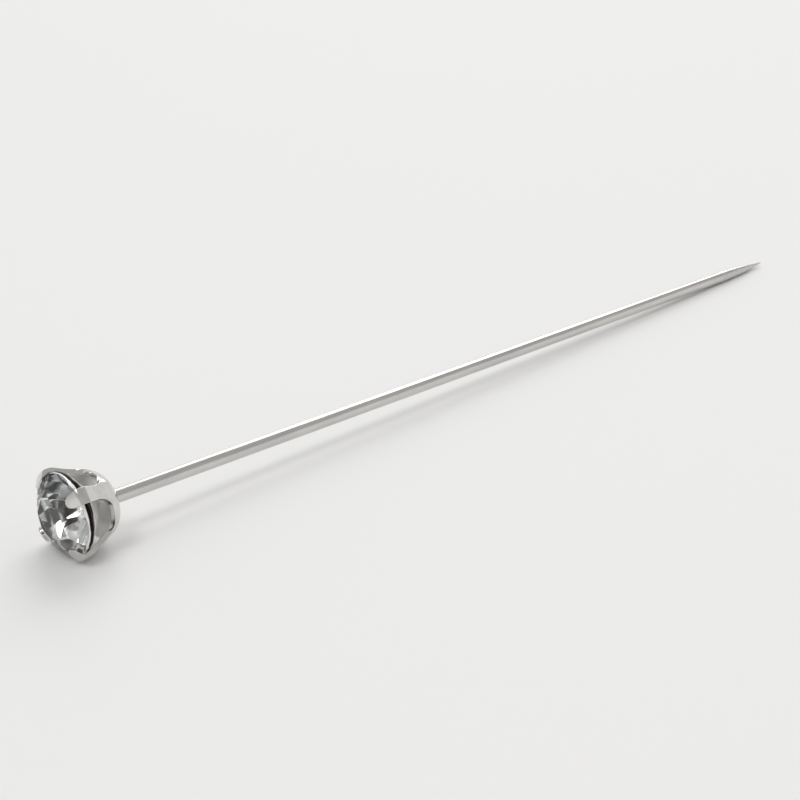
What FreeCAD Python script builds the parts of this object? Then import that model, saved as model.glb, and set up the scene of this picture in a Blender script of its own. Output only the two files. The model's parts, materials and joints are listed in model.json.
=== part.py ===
import FreeCAD, Part
import os
import Sketcher
from FreeCAD import Placement, Rotation, Vector

# Diamante pin, in millimetres.
# A steel pin with a glass stone held by four claws at its head. It lies on a flat surface and touches
# it with the widest edge of the stone and with the thick end of its needle point. Each piece is drawn
# upright on the pin's own axis, with zero at the back of the setting, plus towards the stone and minus
# towards the point, and is then laid down.

SIZES = {
    "shaft_diameter": 0.75,
    "shaft_length": 56.7,
    "point_length": 5.0,
    "point_flat": 0.06,
    "end_bevel": 0.1,
    "solder_spread": 0.35,
    "solder_edge": 0.05,
    "sheet_thickness": 0.25,
    "floor_diameter": 2.7,
    "bowl_radius": 0.9,
    "base_depth": 0.75,
    "claw_width": 0.85,
    "claw_lap": 0.6,
    "window_radius": 0.65,
    "stone_diameter": 4.4,
    "table_diameter": 2.25,
    "culet_diameter": 0.16,
    "girdle_height": 0.25,
    "crown_angle": 36.0,
    "star_angle": 21.0,
    "pavilion_angle": 41.5,
    "break_angle": 44.5,
    "culet_gap": 0.15,
    "grip_clearance": 0.04,
}

CLAWS = 4
FACETS = 8
FULL_TURN = 360.0
CLAW_TURN = FULL_TURN / CLAWS / 2
FACET_STEP = FULL_TURN / FACETS
CUT_MARGIN = 0.5
CORNER_SHARE = 0.95
SAME_PLACE = 1e-5

# Radii and levels that the pieces share, as expressions of the sizes.
SHAFT_RADIUS = "(Sizes.shaft_diameter / 2)"
TIP_RADIUS = "(Sizes.point_flat / 2)"
STONE_RADIUS = "(Sizes.stone_diameter / 2)"
TABLE_RADIUS = "(Sizes.table_diameter / 2)"
CULET_RADIUS = "(Sizes.culet_diameter / 2)"
CROWN_SLOPE = "tan(Sizes.crown_angle * 1deg)"
STAR_SLOPE = "tan(Sizes.star_angle * 1deg)"
PAVILION_SLOPE = "tan(Sizes.pavilion_angle * 1deg)"
BREAK_SLOPE = "tan(Sizes.break_angle * 1deg)"
HALF_FACET = f"({FACET_STEP / 2} * 1deg)"
QUARTER_FACET = f"({FACET_STEP / 4} * 1deg)"
CULET_LEVEL = "(Sizes.sheet_thickness + Sizes.culet_gap)"
PAVILION_DEPTH = (
    f"(({STONE_RADIUS} - {CULET_RADIUS}) * {PAVILION_SLOPE}"
    f" + {STONE_RADIUS} * (1 - cos({QUARTER_FACET})) * {BREAK_SLOPE})"
)
GIRDLE_BOTTOM = f"({CULET_LEVEL} + {PAVILION_DEPTH})"
GIRDLE_TOP = f"({GIRDLE_BOTTOM} + Sizes.girdle_height)"
TABLE_LEVEL = f"({GIRDLE_TOP} + ({STONE_RADIUS} - {TABLE_RADIUS}) * {CROWN_SLOPE})"
CLAW_INSIDE = f"({STONE_RADIUS} + Sizes.grip_clearance)"
CLAW_OUTSIDE = f"({CLAW_INSIDE} + Sizes.sheet_thickness)"
TIP_REACH = f"({CLAW_INSIDE} - Sizes.claw_lap)"
POINT_START = "(Sizes.shaft_length - Sizes.point_length)"
POINT_TAPER = f"({SHAFT_RADIUS} - {TIP_RADIUS})"
POINT_BEND = f"((Sizes.point_length^2 + {POINT_TAPER}^2) / (2 * {POINT_TAPER}))"
FAR = f"({CLAW_OUTSIDE} + {CUT_MARGIN})"
FAR_UP = f"({TABLE_LEVEL} + {CUT_MARGIN})"


def make_sizes(document):
    """Write the driving sizes into the document's sheet."""
    sheet = document.addObject("Spreadsheet::Sheet", "Sizes")
    for row, (alias, value) in enumerate(SIZES.items(), start=1):
        sheet.set(f"A{row}", alias)
        sheet.set(f"B{row}", str(value))
        sheet.setAlias(f"B{row}", alias)
    document.recompute()


def worked_out(item, expression):
    """The number that an expression of the sizes gives."""
    result = item.Document.Sizes.evalExpression(expression)
    return float(getattr(result, "Value", result))


def origin_feature(body, role):
    """One of the body's own origin planes or axes."""
    return next(item for item in body.Origin.OriginFeatures if item.Role == role)


def new_sketch(body, name, plane, turn=0.0, lift=None):
    """A sketch on an origin plane, turned about the pin's axis and lifted along it."""
    sketch = body.newObject("Sketcher::SketchObject", name)
    sketch.AttachmentSupport = (origin_feature(body, plane), [""])
    sketch.MapMode = "FlatFace"
    pin_axis = Vector(0, 0, 1) if plane == "XY_Plane" else Vector(0, 1, 0)
    sketch.AttachmentOffset = Placement(Vector(0, 0, 0), Rotation(pin_axis, turn))
    if lift:
        sketch.setExpression("AttachmentOffset.Base.z", lift)
    return sketch


def tie_point(sketch, geometry, end, across, along):
    """Hold a point of the sketch to two expressions of the sizes."""
    for direction, axis, expression in (("DistanceX", -2, across), ("DistanceY", -1, along)):
        if expression == "0":
            sketch.addConstraint(Sketcher.Constraint("PointOnObject", geometry, end, axis))
            continue
        value = worked_out(sketch, expression)
        ends = (-1, 1, geometry, end) if value > 0 else (geometry, end, -1, 1)
        index = sketch.addConstraint(Sketcher.Constraint(direction, *ends, abs(value)))
        sketch.setExpression(f"Constraints[{index}]", expression if value > 0 else f"-({expression})")


def draw_outline(sketch, corners, arcs=None):
    """Close an outline through corners, each an (across, along) pair of expressions.

    arcs maps a corner's number to the point that the edge after it bulges through.
    """
    arcs = arcs or {}
    places = [Vector(*(worked_out(sketch, part) for part in corner), 0) for corner in corners]
    edges = []
    for number, start in enumerate(places):
        end = places[(number + 1) % len(places)]
        if number not in arcs:
            edges.append((sketch.addGeometry(Part.LineSegment(start, end)), 1, 2))
            continue
        middle = Vector(*(worked_out(sketch, part) for part in arcs[number]), 0)
        leftwards = (middle - start).cross(end - middle).z > 0
        first, last = (start, end) if leftwards else (end, start)
        arc = sketch.addGeometry(Part.Arc(first, middle, last))
        edges.append((arc, 1, 2) if leftwards else (arc, 2, 1))
        marker = sketch.addGeometry(Part.Point(middle), True)
        sketch.addConstraint(Sketcher.Constraint("PointOnObject", marker, 1, arc))
        tie_point(sketch, marker, 1, *arcs[number])
    for number, (edge, start_end, _) in enumerate(edges):
        before, _, before_end = edges[number - 1]
        sketch.addConstraint(Sketcher.Constraint("Coincident", before, before_end, edge, start_end))
        tie_point(sketch, edge, start_end, *corners[number])


def add_feature(body, kind, name, sketch):
    """A feature made from a sketch, as the body's newest one."""
    feature = body.newObject(f"PartDesign::{kind}", name)
    feature.Profile = (sketch, [""])
    body.Tip = feature
    return feature


def revolve(body, name, sketch):
    """Turn a half section all the way round the pin's axis."""
    feature = add_feature(body, "Revolution", name, sketch)
    feature.ReferenceAxis = (sketch, ["V_Axis"])
    feature.Angle = FULL_TURN
    return feature


def cut_round(body, name, sketch, count, side, reverse=False):
    """Cut a sketch right through the body, and repeat the cut evenly round the pin's axis."""
    cut = add_feature(body, "Pocket", name, sketch)
    cut.Type = "ThroughAll"
    cut.SideType = side
    cut.Reversed = reverse
    pattern = body.newObject("PartDesign::PolarPattern", f"{name}_round")
    pattern.Originals = [cut]
    pattern.Axis = (origin_feature(body, "Z_Axis"), [""])
    pattern.Angle = FULL_TURN
    pattern.Occurrences = count
    body.Tip = pattern


def round_edges(body, name, base, choose, radius):
    """Round the edges of a feature that a test chooses, to a radius from the sizes."""
    body.Document.recompute()
    edges = [f"Edge{number}" for number, edge in enumerate(base.Shape.Edges, start=1) if choose(edge)]
    fillet = body.newObject("PartDesign::Fillet", name)
    fillet.Base = (base, edges)
    fillet.Radius = worked_out(body, radius)
    fillet.setExpression("Radius", radius)
    body.Tip = fillet
    return fillet


def hoop_at(body, radius, level):
    """A test for the circular edge at a radius and level."""
    wanted_radius = worked_out(body, radius)
    wanted_level = worked_out(body, level)

    def choose(edge):
        curve = edge.Curve
        if not isinstance(curve, Part.Circle):
            return False
        off_radius = abs(curve.Radius - wanted_radius)
        off_level = abs(curve.Center.z - wanted_level)
        return max(off_radius, off_level) < SAME_PLACE

    return choose


def make_shaft(document):
    """Straight wire, bevelled at its soldered end and ground to a smoothly curved needle point."""
    body = document.addObject("PartDesign::Body", "shaft")
    corners = [
        ("0", "-Sizes.shaft_length"),
        (TIP_RADIUS, "-Sizes.shaft_length"),
        (SHAFT_RADIUS, f"-{POINT_START}"),
        (SHAFT_RADIUS, "-Sizes.solder_spread"),
        (f"({SHAFT_RADIUS} - Sizes.end_bevel)", "0"),
        ("0", "0"),
    ]
    half_point = "(Sizes.point_length / 2)"
    bulge_radius = f"({SHAFT_RADIUS} - {POINT_BEND} + sqrt({POINT_BEND}^2 - {half_point}^2))"
    section = new_sketch(body, "wire_section", "XZ_Plane")
    draw_outline(section, corners, {1: (bulge_radius, f"-({POINT_START} + {half_point})")})
    revolve(body, "wire", section)


def make_solder_fillet(document):
    """Ring of solder with a hollow face, between the bevelled end of the wire and the setting's back."""
    body = document.addObject("PartDesign::Body", "solder_fillet")
    foot = "-Sizes.solder_spread"
    outside = f"({SHAFT_RADIUS} + Sizes.solder_spread)"
    hollow_radius = "(Sizes.solder_spread - Sizes.solder_edge)"
    hollow_radius_mid = f"({outside} - {hollow_radius} * cos(45deg))"
    hollow_level_mid = f"-(Sizes.solder_spread - {hollow_radius} * sin(45deg))"
    corners = [
        (f"({SHAFT_RADIUS} - Sizes.end_bevel)", "0"),
        (SHAFT_RADIUS, foot),
        (f"({SHAFT_RADIUS} + Sizes.solder_edge)", foot),
        (outside, "-Sizes.solder_edge"),
        (outside, "0"),
    ]
    section = new_sketch(body, "solder_section", "XZ_Plane")
    draw_outline(section, corners, {2: (hollow_radius_mid, hollow_level_mid)})
    revolve(body, "solder", section)


def make_claw_setting(document):
    """Cup pressed from sheet: a small bowl, and four claws that lean out and fold over the stone's edge."""
    body = document.addObject("PartDesign::Body", "claw_setting")
    sheet = "Sizes.sheet_thickness"
    floor_radius = "(Sizes.floor_diameter / 2)"
    lean = f"atan(({CLAW_INSIDE} - {floor_radius}) / ({GIRDLE_BOTTOM} - {sheet}))"
    back_radius = f"({floor_radius} + {sheet} * tan(45deg - {lean} / 2))"
    knuckle_level = f"({GIRDLE_TOP} + {sheet} * tan(45deg - Sizes.crown_angle * 0.5deg))"
    tip_level = f"({GIRDLE_TOP} + Sizes.claw_lap * {CROWN_SLOPE})"
    tip_back = (
        f"({TIP_REACH} + {sheet} * sin(Sizes.crown_angle * 1deg))",
        f"({tip_level} + {sheet} * cos(Sizes.crown_angle * 1deg))",
    )
    corners = [
        ("0", "0"),
        (back_radius, "0"),
        (CLAW_OUTSIDE, f"({GIRDLE_BOTTOM} - {sheet} * tan({lean} / 2))"),
        (CLAW_OUTSIDE, knuckle_level),
        tip_back,
        (TIP_REACH, tip_level),
        (CLAW_INSIDE, GIRDLE_TOP),
        (CLAW_INSIDE, GIRDLE_BOTTOM),
        (floor_radius, sheet),
        ("0", sheet),
    ]
    section = new_sketch(body, "sheet_section", "XZ_Plane")
    draw_outline(section, corners)
    shell = revolve(body, "sheet_shell", section)
    back = round_edges(body, "back_bend", shell, hoop_at(body, back_radius, "0"), "Sizes.bowl_radius")
    inner_bend = f"(Sizes.bowl_radius - {sheet})"
    bowl = round_edges(body, "floor_bend", back, hoop_at(body, floor_radius, sheet), inner_bend)
    round_edges(body, "knuckle_bend", bowl, hoop_at(body, CLAW_OUTSIDE, knuckle_level), sheet)

    half_width = "(Sizes.claw_width / 2)"
    base_depth = "Sizes.base_depth"
    ring_inside = f"({floor_radius} + ({base_depth} - {sheet}) * tan({lean}))"
    corner_room = f"({ring_inside} * sin({CLAW_TURN}deg) - {half_width})"
    corner_radius = f"min(Sizes.window_radius; {CORNER_SHARE} * {corner_room})"
    corner_end = f"({half_width} + {corner_radius})"
    bulge = f"({corner_radius} * (1 - sin(45deg)))"
    corners = [
        (half_width, f"({base_depth} + {corner_radius})"),
        (corner_end, base_depth),
        (corner_end, FAR_UP),
        (half_width, FAR_UP),
    ]
    arcs = {0: (f"({half_width} + {bulge})", f"({base_depth} + {bulge})")}
    for side, turn, reverse in (("left", CLAW_TURN, True), ("right", -CLAW_TURN, False)):
        corner = new_sketch(body, f"window_{side}_outline", "XZ_Plane", turn=turn)
        draw_outline(corner, corners, arcs)
        cut_round(body, f"window_{side}", corner, CLAWS, "One side", reverse)
    middle = new_sketch(body, "window_middle_outline", "XY_Plane", turn=-CLAW_TURN, lift=base_depth)
    draw_outline(middle, [(corner_end, corner_end), (FAR, corner_end), (FAR, FAR), (corner_end, FAR)])
    cut_round(body, "window_middle", middle, CLAWS, "One side", reverse=True)

    round_centre = f"({TIP_REACH} + {half_width})"
    clear_side = f"({half_width} + {CUT_MARGIN})"
    clear_end = f"({TIP_REACH} - {CUT_MARGIN})"
    corners = [
        (round_centre, half_width),
        (round_centre, f"-{half_width}"),
        (round_centre, f"-{clear_side}"),
        (clear_end, f"-{clear_side}"),
        (clear_end, clear_side),
        (round_centre, clear_side),
    ]
    tip_end = new_sketch(body, "tip_end", "XY_Plane", turn=CLAW_TURN, lift=GIRDLE_TOP)
    draw_outline(tip_end, corners, {0: (TIP_REACH, "0")})
    cut_round(body, "tip_round", tip_end, CLAWS, "One side", reverse=True)


def make_rhinestone(document):
    """Round pointed-back stone: a cylinder of glass with tiers of flat facets ground on it."""
    body = document.addObject("PartDesign::Body", "rhinestone")
    outline = new_sketch(body, "girdle_circle", "XY_Plane", lift=CULET_LEVEL)
    widest = worked_out(body, STONE_RADIUS)
    circle = outline.addGeometry(Part.Circle(Vector(0, 0, 0), Vector(0, 0, 1), widest))
    outline.addConstraint(Sketcher.Constraint("Coincident", circle, 3, -1, 1))
    radius = outline.addConstraint(Sketcher.Constraint("Radius", circle, widest))
    outline.setExpression(f"Constraints[{radius}]", STONE_RADIUS)
    blank = add_feature(body, "Pad", "blank", outline)
    blank.setExpression("Length", f"{TABLE_LEVEL} - {CULET_LEVEL}")

    star_radius = f"({TABLE_RADIUS} * cos({HALF_FACET}))"
    between = FACET_STEP / 2
    beside = FACET_STEP / 4
    tiers = (
        ("break_facet", 2 * FACETS, beside, STONE_RADIUS, GIRDLE_BOTTOM, BREAK_SLOPE),
        ("pavilion_facet", FACETS, between, CULET_RADIUS, CULET_LEVEL, PAVILION_SLOPE),
        ("crown_facet", FACETS, 0.0, TABLE_RADIUS, TABLE_LEVEL, f"(-{CROWN_SLOPE})"),
        ("star_facet", FACETS, between, star_radius, TABLE_LEVEL, f"(-{STAR_SLOPE})"),
    )
    for name, count, turn, through_radius, through_level, slope in tiers:
        on_axis = f"({through_level} - {through_radius} * {slope})"
        far_level = f"({through_level} + ({FAR} - {through_radius}) * {slope})"
        wedge = new_sketch(body, f"{name}_wedge", "XZ_Plane", turn=turn)
        draw_outline(wedge, [("0", on_axis), (FAR, far_level), (FAR, on_axis)])
        cut_round(body, name, wedge, count, "Symmetric")


def lay_down(body):
    """Tip the piece over so that the stone's edge and the thick end of the point touch the surface."""
    rise = f"({STONE_RADIUS} - {SHAFT_RADIUS} + {POINT_BEND})"
    run = f"({GIRDLE_BOTTOM} + {POINT_START})"
    tilt = f"(acos({POINT_BEND} / sqrt({rise}^2 + {run}^2)) - atan({run} / {rise}))"
    point_end = f"(Sizes.shaft_length * cos({tilt}) + {TIP_RADIUS} * sin({tilt}))"
    stone_end = f"({TABLE_LEVEL} * cos({tilt}) + {TABLE_RADIUS} * sin({tilt}))"
    body.Placement = Placement(Vector(0, 0, 0), Rotation(Vector(0, -1, 0), 90))
    body.setExpression("Placement.Rotation.Angle", f"90deg - {tilt}")
    body.setExpression("Placement.Base.x", f"({stone_end} - {point_end}) / 2")
    body.setExpression("Placement.Base.z", f"{STONE_RADIUS} * cos({tilt}) - {GIRDLE_BOTTOM} * sin({tilt})")


def check(document, bodies):
    """Stop if any object failed or any piece is not one valid solid."""
    for item in document.Objects:
        if "Invalid" in item.State or "Error" in item.State:
            raise RuntimeError(f"{item.Name} failed: {item.State}")
    for body in bodies:
        if body.Shape.isNull() or not body.Shape.isValid() or len(body.Shape.Solids) != 1:
            raise RuntimeError(f"{body.Label} is not one valid solid")


document = FreeCAD.newDocument("diamante_pin")
make_sizes(document)
make_shaft(document)
make_solder_fillet(document)
make_claw_setting(document)
make_rhinestone(document)
bodies = [item for item in document.Objects if item.TypeId == "PartDesign::Body"]
for body in bodies:
    lay_down(body)
document.recompute()
check(document, bodies)

os.makedirs("parts", exist_ok=True)
for body in bodies:
    body.Shape.exportStep(f"parts/{body.Label}.step")
    print(body.Label, round(body.Shape.Volume, 3), body.Shape.BoundBox)
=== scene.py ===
import json
from math import acos, atan2, cos, hypot, pi, radians, sin, sqrt, tan

import bpy
from mathutils import Euler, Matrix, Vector


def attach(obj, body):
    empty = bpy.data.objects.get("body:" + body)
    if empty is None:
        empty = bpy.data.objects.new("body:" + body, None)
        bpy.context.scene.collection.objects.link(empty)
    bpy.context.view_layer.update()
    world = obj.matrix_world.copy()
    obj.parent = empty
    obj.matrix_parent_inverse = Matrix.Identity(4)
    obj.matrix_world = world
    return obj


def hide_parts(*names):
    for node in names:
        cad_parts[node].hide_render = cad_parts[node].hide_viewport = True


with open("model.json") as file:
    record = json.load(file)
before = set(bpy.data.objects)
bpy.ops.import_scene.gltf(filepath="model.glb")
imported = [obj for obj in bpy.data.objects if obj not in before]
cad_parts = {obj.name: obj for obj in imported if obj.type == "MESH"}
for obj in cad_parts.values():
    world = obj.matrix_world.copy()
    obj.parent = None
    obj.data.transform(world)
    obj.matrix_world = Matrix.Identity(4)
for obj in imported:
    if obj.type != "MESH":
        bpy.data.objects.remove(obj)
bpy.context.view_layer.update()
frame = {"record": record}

# Shaft: hard steel wire, drawn, cut to length and bright nickel plated. One end is bevelled where it is
# soldered on, and the other is ground to a long needle point. Each piece is modelled upright on the
# pin's own axis, zero at the back of the setting and plus towards the stone, and is then laid down.
MM = 0.001
wire_radius = 0.375 * MM
wire_length = 56.7 * MM
point_length = 5.0 * MM
tip_radius = 0.03 * MM
tip_round = 0.02 * MM
tip_shoulder_out = 0.6 * tip_radius
tip_shoulder_up = 0.25 * tip_round
end_bevel = 0.1 * MM
bevel_length = 0.35 * MM
point_rings = 18
wire_sides = 96
wire_crease = radians(30)
weld_gap = 0.0001 * MM

shaft_mount = frame["record"]["mounts"][0]
pin_axis = Vector(shaft_mount["axis"])
wire_straight = shaft_mount["dims"]["length_mm"] * MM
cup_back = Vector(shaft_mount["pos_m"]) - pin_axis * (wire_straight / 2 + bevel_length)
laid_down = Euler((0.0, -acos(-pin_axis.z), 0.0))


def start_piece():
    """Leave everything else alone, so that the next operators act on the new piece only."""
    if bpy.context.object and bpy.context.object.mode == "EDIT":
        bpy.ops.object.mode_set(mode="OBJECT")
    bpy.ops.object.select_all(action="DESELECT")


def draw_outline(name, outline):
    """Draw a line through (radius, level) points, in edit mode, in the plane beside the pin's axis."""
    start_piece()
    bpy.ops.mesh.primitive_plane_add(size=MM, location=(0, 0, 0))
    bpy.context.object.name = name
    bpy.ops.object.mode_set(mode="EDIT")
    bpy.ops.mesh.select_all(action="SELECT")
    bpy.ops.mesh.merge(type="CENTER")
    bpy.ops.transform.translate(value=(outline[0][0], 0, outline[0][1]))
    for before, after in zip(outline, outline[1:]):
        step = (after[0] - before[0], 0, after[1] - before[1])
        bpy.ops.mesh.extrude_region_move(TRANSFORM_OT_translate={"value": step})


def spin_outline(angle, steps):
    """Turn the drawn line about the pin's axis, and close its poles and seam."""
    bpy.ops.mesh.select_all(action="SELECT")
    bpy.ops.mesh.spin(steps=steps, angle=angle, center=(0, 0, 0), axis=(0, 0, 1))
    bpy.ops.mesh.select_all(action="SELECT")
    bpy.ops.mesh.remove_doubles(threshold=weld_gap)
    bpy.ops.mesh.normals_make_consistent(inside=False)


def lay_down(piece):
    """Tip the upright piece over to where it rests, with its place in its mesh."""
    bpy.ops.object.mode_set(mode="OBJECT")
    piece.rotation_euler = laid_down
    piece.location = cup_back
    bpy.ops.object.transform_apply(location=True, rotation=True, scale=True)


def new_finish(name, colour, metallic, roughness):
    """A procedural finish, and its shader."""
    finish = bpy.data.materials.new(name)
    finish.use_nodes = True
    shader = finish.node_tree.nodes["Principled BSDF"]
    shader.inputs["Base Color"].default_value = (*colour, 1.0)
    shader.inputs["Metallic"].default_value = metallic
    shader.inputs["Roughness"].default_value = roughness
    return finish, shader


def pin_place(finish, grain=(MM, MM, MM)):
    """Coordinates on the pin's own upright axes, in grains of a size in metres."""
    nodes = finish.node_tree.nodes
    place = nodes.new("ShaderNodeTexCoord")
    upright = nodes.new("ShaderNodeMapping")
    upright.vector_type = "TEXTURE"
    upright.inputs["Location"].default_value = cup_back
    upright.inputs["Rotation"].default_value = laid_down
    upright.inputs["Scale"].default_value = grain
    finish.node_tree.links.new(place.outputs["Object"], upright.inputs["Vector"])
    return upright.outputs["Vector"]


def noise_on(finish, grain, detail):
    """A cloudy pattern from 0 to 1, with a grain size along each of the pin's axes."""
    noise = finish.node_tree.nodes.new("ShaderNodeTexNoise")
    noise.inputs["Scale"].default_value = 1.0
    noise.inputs["Detail"].default_value = detail
    finish.node_tree.links.new(pin_place(finish, grain), noise.inputs["Vector"])
    return noise.outputs["Fac"]


def spread(finish, pattern, low, high):
    """The pattern's middle part, where most of it lies, stretched over a range of values."""
    pattern_low, pattern_high = 0.35, 0.65
    reach = finish.node_tree.nodes.new("ShaderNodeMapRange")
    reach.inputs["From Min"].default_value = pattern_low
    reach.inputs["From Max"].default_value = pattern_high
    reach.inputs["To Min"].default_value = low
    reach.inputs["To Max"].default_value = high
    finish.node_tree.links.new(pattern, reach.inputs["Value"])
    return reach.outputs["Result"]


def colour_from(finish, shader, pattern, first, second):
    """Let the colour drift from one tone to the other with a pattern."""
    mix = finish.node_tree.nodes.new("ShaderNodeMix")
    mix.data_type = "RGBA"
    mix.inputs["A"].default_value = (*first, 1.0)
    mix.inputs["B"].default_value = (*second, 1.0)
    finish.node_tree.links.new(spread(finish, pattern, 0.0, 1.0), mix.inputs["Factor"])
    finish.node_tree.links.new(mix.outputs["Result"], shader.inputs["Base Color"])


def gloss_from(finish, shader, pattern, smoothest, roughest):
    """Let the roughness go up and down with a pattern."""
    finish.node_tree.links.new(spread(finish, pattern, smoothest, roughest), shader.inputs["Roughness"])


def relief_from(finish, shader, pattern, depth, strength):
    """Give the surface fine relief, of a depth in metres."""
    bump = finish.node_tree.nodes.new("ShaderNodeBump")
    bump.inputs["Strength"].default_value = strength
    bump.inputs["Distance"].default_value = depth
    finish.node_tree.links.new(pattern, bump.inputs["Height"])
    finish.node_tree.links.new(bump.outputs["Normal"], shader.inputs["Normal"])


taper = wire_radius - tip_radius
point_bend = (point_length ** 2 + taper ** 2) / (2 * taper)
wire_outline = [(0.0, 0.0), (wire_radius - end_bevel, 0.0), (wire_radius, -bevel_length)]
for ring in range(point_rings + 1):
    down = (point_length - tip_round) * ring / point_rings
    radius = wire_radius - point_bend + sqrt(point_bend ** 2 - down ** 2)
    wire_outline.append((radius, point_length - wire_length - down))
wire_outline += [(tip_shoulder_out, tip_shoulder_up - wire_length), (0.0, -wire_length)]
draw_outline("shaft_wire", wire_outline)
spin_outline(2 * pi, wire_sides)
shaft = bpy.context.object
lay_down(shaft)
bpy.ops.object.shade_smooth_by_angle(angle=wire_crease)

nickel, nickel_shader = new_finish("bright_nickel", (0.65, 0.635, 0.615), metallic=1.0, roughness=0.2)
draw_lines = noise_on(nickel, grain=(0.04 * MM, 0.04 * MM, 15 * MM), detail=2.0)
clouds = noise_on(nickel, grain=(0.5 * MM, 0.5 * MM, 3 * MM), detail=2.0)
colour_from(nickel, nickel_shader, clouds, first=(0.61, 0.60, 0.59), second=(0.69, 0.67, 0.645))
gloss_from(nickel, nickel_shader, draw_lines, smoothest=0.14, roughest=0.24)
relief_from(nickel, nickel_shader, draw_lines, depth=0.001 * MM, strength=0.3)
shaft.data.materials.append(nickel)

ground, ground_shader = new_finish("ground_point", (0.62, 0.61, 0.60), metallic=1.0, roughness=0.3)
grinding = noise_on(ground, grain=(0.025 * MM, 0.025 * MM, 0.9 * MM), detail=3.0)
colour_from(ground, ground_shader, grinding, first=(0.56, 0.55, 0.54), second=(0.68, 0.67, 0.65))
gloss_from(ground, ground_shader, grinding, smoothest=0.2, roughest=0.38)
relief_from(ground, ground_shader, grinding, depth=0.002 * MM, strength=0.6)
shaft.data.materials.append(ground)
for face in shaft.data.polygons:
    face.material_index = int((face.center - cup_back).dot(pin_axis) > wire_length - point_length)
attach(shaft, "root")
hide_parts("shaft")

# Solder: the small ring of satin solder that was melted into the corner between the bevelled end of
# the wire and the back of the setting. Its face is hollow and a little uneven.
solder_spread = 0.35 * MM
solder_edge = 0.05 * MM
solder_sides = 96
solder_arc_steps = 10
solder_crease = radians(35)

hollow = solder_spread - solder_edge
solder_outline = [(wire_radius - end_bevel, 0.0), (wire_radius, -solder_spread)]
for step in range(solder_arc_steps + 1):
    turn = pi / 2 * step / solder_arc_steps
    solder_outline.append((
        wire_radius + solder_spread - hollow * cos(turn),
        hollow * sin(turn) - solder_spread,
    ))
solder_outline += [(wire_radius + solder_spread, 0.0), (wire_radius - end_bevel, 0.0)]
draw_outline("solder_ring", solder_outline)
spin_outline(2 * pi, solder_sides)
solder = bpy.context.object
lay_down(solder)
bpy.ops.object.shade_smooth_by_angle(angle=solder_crease)

tin, tin_shader = new_finish("satin_solder", (0.64, 0.635, 0.625), metallic=1.0, roughness=0.3)
lumps = noise_on(tin, grain=(0.2 * MM, 0.2 * MM, 0.2 * MM), detail=2.0)
colour_from(tin, tin_shader, lumps, first=(0.60, 0.595, 0.585), second=(0.68, 0.675, 0.665))
gloss_from(tin, tin_shader, lumps, smoothest=0.22, roughest=0.36)
relief_from(tin, tin_shader, lumps, depth=0.02 * MM, strength=0.5)
solder.data.materials.append(tin)
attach(solder, "root")
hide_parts("solder_fillet")

# Claw setting: one cup pressed from thin brass sheet and silver plated, polished outside and left pale
# and dull inside. A small round bowl carries four claws, which lean out past the stone, leave an open
# U between them, and are folded over its edge.
sheet = 0.25 * MM
floor_radius = 1.35 * MM
bowl_bend = 0.9 * MM
side_bend = 0.4 * MM
knuckle_bend = 0.3 * MM
base_depth = 0.75 * MM
window_corner = 0.72 * MM
claw_lap = 0.6 * MM
grip_gap = 0.04 * MM
sheet_edge = 0.05 * MM
tip_end_round = 0.34 * MM
claws = 4
claw_half_turn = radians(10)
column_turn = radians(2.5)
floor_steps = 3
bowl_steps = 12
wall_steps = 8
claw_steps = 7
side_steps = 4
knuckle_steps = 8
fold_steps = 8
edge_steps = 3
sheet_crease = radians(50)
just_past = 0.001 * MM

stone_radius = 2.2 * MM
table_radius = 1.125 * MM
culet_radius = 0.08 * MM
culet_gap = 0.15 * MM
girdle_height = 0.25 * MM
crown_slope = radians(36)
star_slope = radians(21)
pavilion_slope = radians(41.5)
break_slope = radians(44.5)
facets = 8
half_facet = pi / facets
culet_level = sheet + culet_gap
girdle_bottom = (
    culet_level + (stone_radius - culet_radius) * tan(pavilion_slope)
    + stone_radius * (1 - cos(half_facet / 2)) * tan(break_slope)
)
girdle_top = girdle_bottom + girdle_height
table_level = girdle_top + (stone_radius - table_radius) * tan(crown_slope)

claw_inside = stone_radius + grip_gap
claw_outside = claw_inside + sheet
lean = atan2(claw_inside - floor_radius, girdle_bottom - sheet)
back_radius = floor_radius + sheet * tan(pi / 4 - lean / 2)
knuckle_level = girdle_top + sheet * tan(pi / 4 - crown_slope / 2)
tip_reach = claw_inside - claw_lap
tip_back = (
    tip_reach + sheet * sin(crown_slope),
    girdle_top + claw_lap * tan(crown_slope) + sheet * cos(crown_slope),
)


def bend_between(before, corner, after, bend, steps):
    """Points of an arc of a bend radius that rounds a corner of an outline."""
    before, corner, after = Vector(before), Vector(corner), Vector(after)
    inwards = (before - corner).normalized()
    onwards = (after - corner).normalized()
    half = inwards.angle(onwards) / 2
    centre = corner + (inwards + onwards).normalized() * bend / sin(half)
    first = corner + inwards * bend / tan(half) - centre
    last = corner + onwards * bend / tan(half) - centre
    arc = first.angle(last)
    points = []
    for step in range(steps + 1):
        share = step / steps
        point = (first * sin((1 - share) * arc) + last * sin(share * arc)) / sin(arc)
        points.append(tuple(centre + point))
    return points


def points_between(before, after, steps):
    """Points that divide a straight run, without its two ends."""
    before, after = Vector(before), Vector(after)
    return [tuple(before.lerp(after, step / steps)) for step in range(1, steps)]


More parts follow.
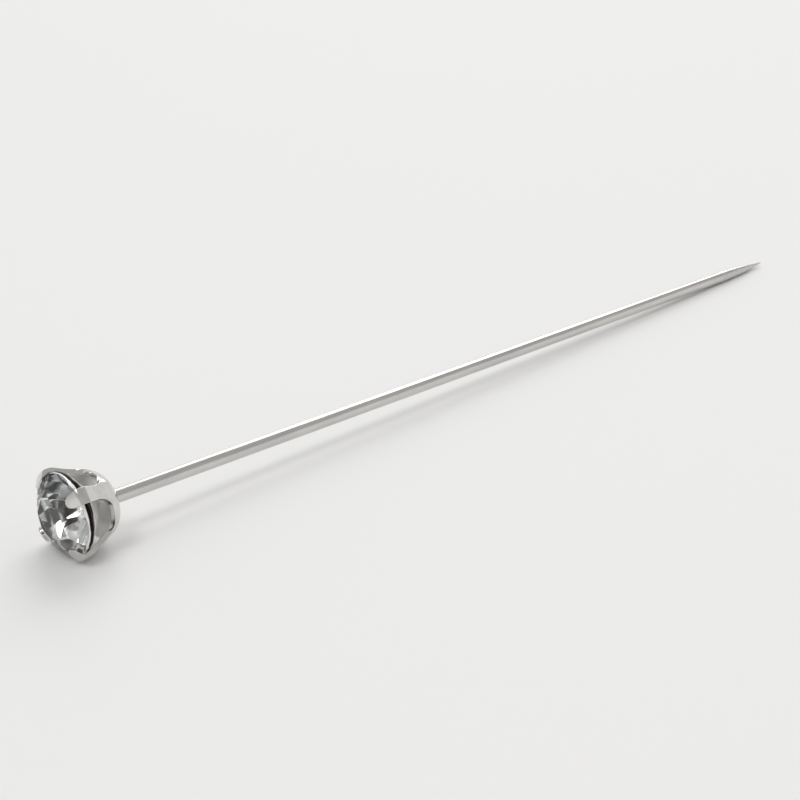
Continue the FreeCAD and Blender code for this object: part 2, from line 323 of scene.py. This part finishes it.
middle = (0.0, 0.0)
back_corner = (back_radius, 0.0)
girdle_corner = (claw_outside, girdle_bottom - sheet * tan(lean / 2))
knuckle_corner = (claw_outside, knuckle_level)
bowl_arc = bend_between(middle, back_corner, girdle_corner, bowl_bend, bowl_steps)
side_arc = bend_between(bowl_arc[-1], girdle_corner, knuckle_corner, side_bend, side_steps)
knuckle_arc = bend_between(side_arc[-1], knuckle_corner, tip_back, knuckle_bend, knuckle_steps)
rim_level = base_depth + window_corner
rim_point = (back_radius + rim_level * tan(lean), rim_level)
cup_outline = (
    points_between(middle, bowl_arc[0], floor_steps) + bowl_arc
    + points_between(bowl_arc[-1], rim_point, wall_steps) + [rim_point]
    + points_between(rim_point, side_arc[0], claw_steps) + side_arc + knuckle_arc
    + points_between(knuckle_arc[-1], tip_back, fold_steps) + [tip_back]
)
quarter_turn = 2 * pi / claws
quarter_columns = round(quarter_turn / column_turn)
draw_outline("claw_cup", cup_outline)
spin_outline(quarter_turn, quarter_columns)
cup = bpy.context.object
spun_left = any(vertex.co.y > MM for vertex in cup.data.vertices)
claw_azimuth = quarter_turn / 2 if spun_left else -quarter_turn / 2


def select_where(piece, wanted, kind="vertices"):
    """Select the vertices or faces of a piece, in edit mode, that a test wants."""
    bpy.ops.mesh.select_all(action="DESELECT")
    bpy.ops.mesh.select_mode(type="FACE" if kind == "polygons" else "VERT")
    bpy.ops.object.mode_set(mode="OBJECT")
    for item in getattr(piece.data, kind):
        item.select = wanted(item.center if kind == "polygons" else item.co)
    bpy.ops.object.mode_set(mode="EDIT")


def in_window(centre):
    """Whether a face of the quarter lies beside its claw, past the rounded corners of the windows."""
    off_claw = abs(atan2(centre.y, centre.x) - claw_azimuth)
    return off_claw > claw_half_turn and centre.z > rim_level


def shorten_column(turn, start, share):
    """Shorten one column of the sheet towards the point of the outline where it starts."""
    select_where(cup, lambda point: (
        point.z > start[1] + just_past
        and abs(atan2(point.y, point.x) - turn) < column_turn / 4
    ))
    hinge = (start[0] * cos(turn), start[0] * sin(turn), start[1])
    bpy.ops.transform.resize(value=(share, share, share), center_override=hinge)


select_where(cup, in_window, "polygons")
bpy.ops.mesh.delete(type="FACE")

wall_start = bowl_arc[-1]
rim_radius = back_radius + base_depth * tan(lean)
for column in range(1, round((quarter_turn / 2 - claw_half_turn) / column_turn) + 1):
    reach = max(window_corner - column * column_turn * rim_radius, 0.0)
    height = rim_level - sqrt(window_corner ** 2 - reach ** 2)
    share = (height - wall_start[1]) / (rim_level - wall_start[1])
    for side in (-1, 1):
        shorten_column(claw_azimuth + side * (claw_half_turn + column * column_turn), wall_start, share)

fold_start = knuckle_arc[-1]
fold_length = hypot(fold_start[0] - tip_back[0], fold_start[1] - tip_back[1])
for column in range(1, round(claw_half_turn / column_turn) + 1):
    across = min(column * column_turn / claw_half_turn, 1.0)
    share = (fold_length - tip_end_round * (1 - sqrt(1 - across ** 2))) / fold_length
    for side in (-1, 1):
        shorten_column(claw_azimuth + side * column * column_turn, fold_start, share)

bpy.ops.mesh.select_all(action="SELECT")
for claw in range(claws - 1):
    bpy.ops.mesh.duplicate()
    bpy.ops.transform.rotate(value=quarter_turn, orient_axis="Z", center_override=(0, 0, 0))
bpy.ops.mesh.select_all(action="SELECT")
bpy.ops.mesh.remove_doubles(threshold=weld_gap)
select_where(cup, lambda point: hypot(point.x, point.y) < cup_outline[0][0] + just_past)
bpy.ops.mesh.fill_grid(span=quarter_columns)
bpy.ops.mesh.select_all(action="SELECT")
bpy.ops.mesh.normals_make_consistent(inside=False)
bpy.ops.object.mode_set(mode="OBJECT")
if min(cup.data.polygons, key=lambda face: face.center.z).normal.z > 0:
    bpy.ops.object.mode_set(mode="EDIT")
    bpy.ops.mesh.flip_normals()
    bpy.ops.object.mode_set(mode="OBJECT")


def apply_modifier(piece, kind, **settings):
    """Add a modifier with these settings, and apply it."""
    modifier = piece.modifiers.new(kind.title(), kind)
    for setting, value in settings.items():
        setattr(modifier, setting, value)
    bpy.ops.object.modifier_apply(modifier=modifier.name)


silver, silver_shader = new_finish("silver_plate", (0.69, 0.675, 0.655), metallic=1.0, roughness=0.15)
plate_clouds = noise_on(silver, grain=(0.7 * MM, 0.7 * MM, 0.7 * MM), detail=1.0)
fine_marks = noise_on(silver, grain=(0.06 * MM, 0.06 * MM, 0.2 * MM), detail=4.0)
colour_from(silver, silver_shader, plate_clouds, first=(0.65, 0.635, 0.615), second=(0.74, 0.725, 0.705))
gloss_from(silver, silver_shader, fine_marks, smoothest=0.07, roughest=0.2)
relief_from(silver, silver_shader, plate_clouds, depth=0.006 * MM, strength=0.5)
cup.data.materials.append(silver)

inside, inside_shader = new_finish("unpolished_silver", (0.92, 0.91, 0.895), metallic=1.0, roughness=0.55)
press_marks = noise_on(inside, grain=(0.15 * MM, 0.15 * MM, 0.15 * MM), detail=3.0)
colour_from(inside, inside_shader, press_marks, first=(0.90, 0.89, 0.875), second=(0.95, 0.94, 0.925))
gloss_from(inside, inside_shader, press_marks, smoothest=0.48, roughest=0.62)
relief_from(inside, inside_shader, press_marks, depth=0.004 * MM, strength=0.5)
cup.data.materials.append(inside)

apply_modifier(cup, "SOLIDIFY", thickness=sheet, offset=-1.0, use_even_offset=True, material_offset=1)
apply_modifier(
    cup, "BEVEL", width=sheet_edge, segments=edge_steps, limit_method="ANGLE", angle_limit=sheet_crease,
)
apply_modifier(cup, "SUBSURF", levels=1, render_levels=1)
lay_down(cup)
bpy.ops.object.shade_smooth()
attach(cup, "root")
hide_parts("claw_setting")

# Rhinestone: a round glass stone with a pointed back, moulded and then ground with tiers of flat
# facets. Silver foil on its back throws the light out through the front. A pale lacquer covers the
# foil from behind. A nearly black band of uneven width runs round the foil behind the stone's edge;
# it is painted shade that stands for the dark look of the unfoiled edge, and it widens towards each
# claw where the claws' shade is painted into it.
stone_sides = 160
facet_edge = 0.012 * MM
facet_edge_steps = 2
facet_edge_crease = radians(8)
facet_crease = radians(6)
cut_gap = 0.00001 * MM
glass_index = 1.54
foil_facing = 0.15
foil_sheen = 0.06
lacquer_metal = 0.3
lacquer_roughness = 0.3
band_narrow = 0.2
band_wider = 0.33
band_swell = 1.5
band_front = 0.09
band_uneven = 0.02

start_piece()
bpy.ops.mesh.primitive_cylinder_add(
    vertices=stone_sides, radius=stone_radius, depth=table_level - culet_level,
    location=(0, 0, (table_level + culet_level) / 2), end_fill_type="NGON",
)
stone = bpy.context.object
stone.name = "foiled_rhinestone"
bpy.ops.object.transform_apply(location=True, rotation=True, scale=True)
bpy.ops.object.mode_set(mode="EDIT")
tiers = (
    (2 * facets, half_facet / 2, stone_radius, girdle_bottom, break_slope, -1),
    (facets, half_facet, culet_radius, culet_level, pavilion_slope, -1),
    (facets, 0.0, table_radius, table_level, crown_slope, 1),
    (facets, half_facet, table_radius * cos(half_facet), table_level, star_slope, 1),
)
for count, turn, through_radius, through_level, slope, upwards in tiers:
    for facet in range(count):
        azimuth = turn + facet * 2 * pi / count
        facing = (sin(slope) * cos(azimuth), sin(slope) * sin(azimuth), upwards * cos(slope))
        through = (through_radius * cos(azimuth), through_radius * sin(azimuth), through_level)
        bpy.ops.mesh.select_all(action="SELECT")
        bpy.ops.mesh.bisect(
            plane_co=through, plane_no=facing, use_fill=True, clear_outer=True, threshold=cut_gap,
        )
bpy.ops.mesh.select_all(action="SELECT")
bpy.ops.mesh.normals_make_consistent(inside=False)
bpy.ops.object.mode_set(mode="OBJECT")
apply_modifier(
    stone, "BEVEL", width=facet_edge, segments=facet_edge_steps, limit_method="ANGLE",
    angle_limit=facet_edge_crease,
)

glass, glass_shader = new_finish("clear_glass", (0.975, 0.995, 0.985), metallic=0.0, roughness=0.0)
glass_shader.inputs["IOR"].default_value = glass_index
glass_shader.inputs["Transmission Weight"].default_value = 1.0
polish = noise_on(glass, grain=(0.4 * MM, 0.4 * MM, 0.4 * MM), detail=3.0)
gloss_from(glass, glass_shader, polish, smoothest=0.0, roughest=0.03)

foil, foil_shader = new_finish("silver_foil", (0.86, 0.87, 0.87), metallic=1.0, roughness=0.12)
foil_shader.inputs["Specular IOR Level"].default_value = foil_sheen
foil_nodes, foil_links = foil.node_tree.nodes, foil.node_tree.links
crinkle = noise_on(foil, grain=(0.35 * MM, 0.35 * MM, 0.35 * MM), detail=3.0)
lustre = noise_on(foil, grain=(0.9 * MM, 0.9 * MM, 0.9 * MM), detail=1.0)
across_pin = foil_nodes.new("ShaderNodeSeparateXYZ")
foil_links.new(pin_place(foil), across_pin.inputs["Vector"])


def working(kind, first, second):
    """A sum on two values of the foil's pattern."""
    node = foil_nodes.new("ShaderNodeMath")
    node.operation = kind
    for number, value in enumerate((first, second)):
        if isinstance(value, (int, float)):
            node.inputs[number].default_value = value
        else:
            foil_links.new(value, node.inputs[number])
    return node.outputs["Value"]


# The band worked out here is painted shade: a dark mask behind the stone's edge, made wider towards each
# claw as painted shade from the claws.
most_both_ways = (stone_radius / MM) ** 2 / 2
both_ways = working("MULTIPLY", across_pin.outputs["X"], across_pin.outputs["Y"])
toward_claw = working("ABSOLUTE", working("DIVIDE", both_ways, most_both_ways), 0.0)
uneven = working("ADD", across_pin.outputs["Z"], spread(foil, crinkle, -band_uneven, band_uneven))
claw_shade_flare = working("MULTIPLY", working("POWER", toward_claw, band_swell), band_wider)
band_back = working("SUBTRACT", girdle_bottom / MM - band_narrow, claw_shade_flare)
past_back = working("GREATER_THAN", uneven, band_back)
short_of_front = working("LESS_THAN", uneven, girdle_top / MM - band_front)
in_painted_shade = working("MULTIPLY", past_back, short_of_front)

rose_tint = (0.88, 0.84, 0.86, 1)
green_tint = (0.85, 0.875, 0.855, 1)
blue_tint = (0.83, 0.86, 0.885, 1)
rose_level, green_level, blue_level = 0.36, 0.5, 0.64
# The nearly black colour of the painted shade band.
painted_shade_tone = (0.012, 0.004, 0.0035, 1)
tints = foil_nodes.new("ShaderNodeValToRGB")
tints.color_ramp.elements[0].position = rose_level
tints.color_ramp.elements[0].color = rose_tint
tints.color_ramp.elements[1].position = blue_level
tints.color_ramp.elements[1].color = blue_tint
tints.color_ramp.elements.new(green_level).color = green_tint
foil_links.new(lustre, tints.inputs["Fac"])
painted_shade_mix = foil_nodes.new("ShaderNodeMix")
painted_shade_mix.data_type = "RGBA"
painted_shade_mix.inputs["B"].default_value = painted_shade_tone
foil_links.new(in_painted_shade, painted_shade_mix.inputs["Factor"])
foil_links.new(tints.outputs["Color"], painted_shade_mix.inputs["A"])
foil_links.new(painted_shade_mix.outputs["Result"], foil_shader.inputs["Base Color"])

side_seen = foil_nodes.new("ShaderNodeNewGeometry")
from_inside = side_seen.outputs["Backfacing"]
metal = working("ADD", working("MULTIPLY", from_inside, 1.0 - lacquer_metal), lacquer_metal)
# The foil is not metal inside the painted shade band, so the band stays dark.
metal_off_painted_shade = working("MULTIPLY", working("SUBTRACT", 1.0, in_painted_shade), metal)
foil_links.new(metal_off_painted_shade, foil_shader.inputs["Metallic"])
gloss = foil_nodes.new("ShaderNodeMix")
gloss.inputs["A"].default_value = lacquer_roughness
foil_links.new(from_inside, gloss.inputs["Factor"])
foil_links.new(spread(foil, crinkle, low=0.06, high=0.14), gloss.inputs["B"])
foil_links.new(gloss.outputs["Result"], foil_shader.inputs["Roughness"])
relief_from(foil, foil_shader, crinkle, depth=0.003 * MM, strength=0.3)

stone.data.materials.append(glass)
stone.data.materials.append(foil)
for face in stone.data.polygons:
    face.material_index = 1 if face.normal.z < foil_facing else 0
lay_down(stone)
bpy.ops.object.shade_smooth_by_angle(angle=facet_crease)
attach(stone, "root")
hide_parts("rhinestone")

# Floor: a wide sheet of matt white paper that the pin lies on. It reaches past what the camera sees, so
# that no edge of it shows.
paper_sides = 64
paper_reach = 2.0

start_piece()
bpy.ops.mesh.primitive_circle_add(
    vertices=paper_sides, radius=paper_reach, fill_type="NGON", location=(0, 0, 0),
)
floor = bpy.context.object
floor.name = "paper_floor"
paper, paper_shader = new_finish("white_paper", (0.9, 0.9, 0.895), metallic=0.0, roughness=0.7)
floor.data.materials.append(paper)

# Light: a room that is white low down and grey above, with a dark doorway behind the camera that the
# stone mirrors, and two soft boxes, a wide one beyond the pin and a smaller one high at its left.
white_up_to = 0.32
grey_from = 0.46
white_tone = (0.8, 0.8, 0.8, 1)
grey_tone = (0.5, 0.495, 0.49, 1)
doorway_tone = (0.012, 0.006, 0.004, 1)
doorway_direction = (-0.56, -0.80, 0.19)
doorway_edge = radians(18)
doorway_inside = radians(15)

world = bpy.data.worlds.new("studio_room")
bpy.context.scene.world = world
world.use_nodes = True
room_nodes, room_links = world.node_tree.nodes, world.node_tree.links
looking = room_nodes.new("ShaderNodeTexCoord")
height = room_nodes.new("ShaderNodeSeparateXYZ")
room_links.new(looking.outputs["Generated"], height.inputs["Vector"])
shade = room_nodes.new("ShaderNodeValToRGB")
shade.color_ramp.elements[0].position = white_up_to
shade.color_ramp.elements[0].color = white_tone
shade.color_ramp.elements[1].position = grey_from
shade.color_ramp.elements[1].color = grey_tone
room_links.new(height.outputs["Z"], shade.inputs["Fac"])
toward_doorway = room_nodes.new("ShaderNodeVectorMath")
toward_doorway.operation = "DOT_PRODUCT"
toward_doorway.inputs[1].default_value = doorway_direction
room_links.new(looking.outputs["Generated"], toward_doorway.inputs[0])
in_doorway = room_nodes.new("ShaderNodeMapRange")
in_doorway.inputs["From Min"].default_value = cos(doorway_edge)
in_doorway.inputs["From Max"].default_value = cos(doorway_inside)
room_links.new(toward_doorway.outputs["Value"], in_doorway.inputs["Value"])
room_tone = room_nodes.new("ShaderNodeMix")
room_tone.data_type = "RGBA"
room_tone.inputs["B"].default_value = doorway_tone
room_links.new(in_doorway.outputs["Result"], room_tone.inputs["Factor"])
room_links.new(shade.outputs["Color"], room_tone.inputs["A"])
room_links.new(room_tone.outputs["Result"], room_nodes["Background"].inputs["Color"])

for lamp_name, place, size, power in (
    ("soft_box_behind", (2.4, 2.0, 2.5), 3.0, 60),
    ("soft_box_left", (-1.5, -0.25, 3.1), 1.25, 24),
):
    start_piece()
    bpy.ops.object.light_add(type="AREA", location=place)
    lamp = bpy.context.object
    lamp.name = lamp_name
    lamp.data.size = size
    lamp.data.energy = power
    lamp.rotation_euler = (-Vector(place)).to_track_quat("-Z", "Y").to_euler()

# Camera: at the photograph's angle, beside the head and a little in front of it and above it, with a
# long lens that takes in the whole pin.
camera_azimuth = radians(-44)
camera_elevation = radians(25)
camera_distance = 0.1
camera_target = Vector((-0.006, 0.0, 0.001))
camera_lens = 77
camera_nearest = 0.005
camera_from = Vector((
    sin(camera_azimuth) * cos(camera_elevation),
    -cos(camera_azimuth) * cos(camera_elevation),
    sin(camera_elevation),
))
start_piece()
bpy.ops.object.camera_add(location=camera_target + camera_from * camera_distance)
camera = bpy.context.object
camera.rotation_euler = (-camera_from).to_track_quat("-Z", "Y").to_euler()
camera.data.lens = camera_lens
camera.data.clip_start = camera_nearest
bpy.context.scene.camera = camera

bpy.context.scene.view_settings.view_transform = "Standard"
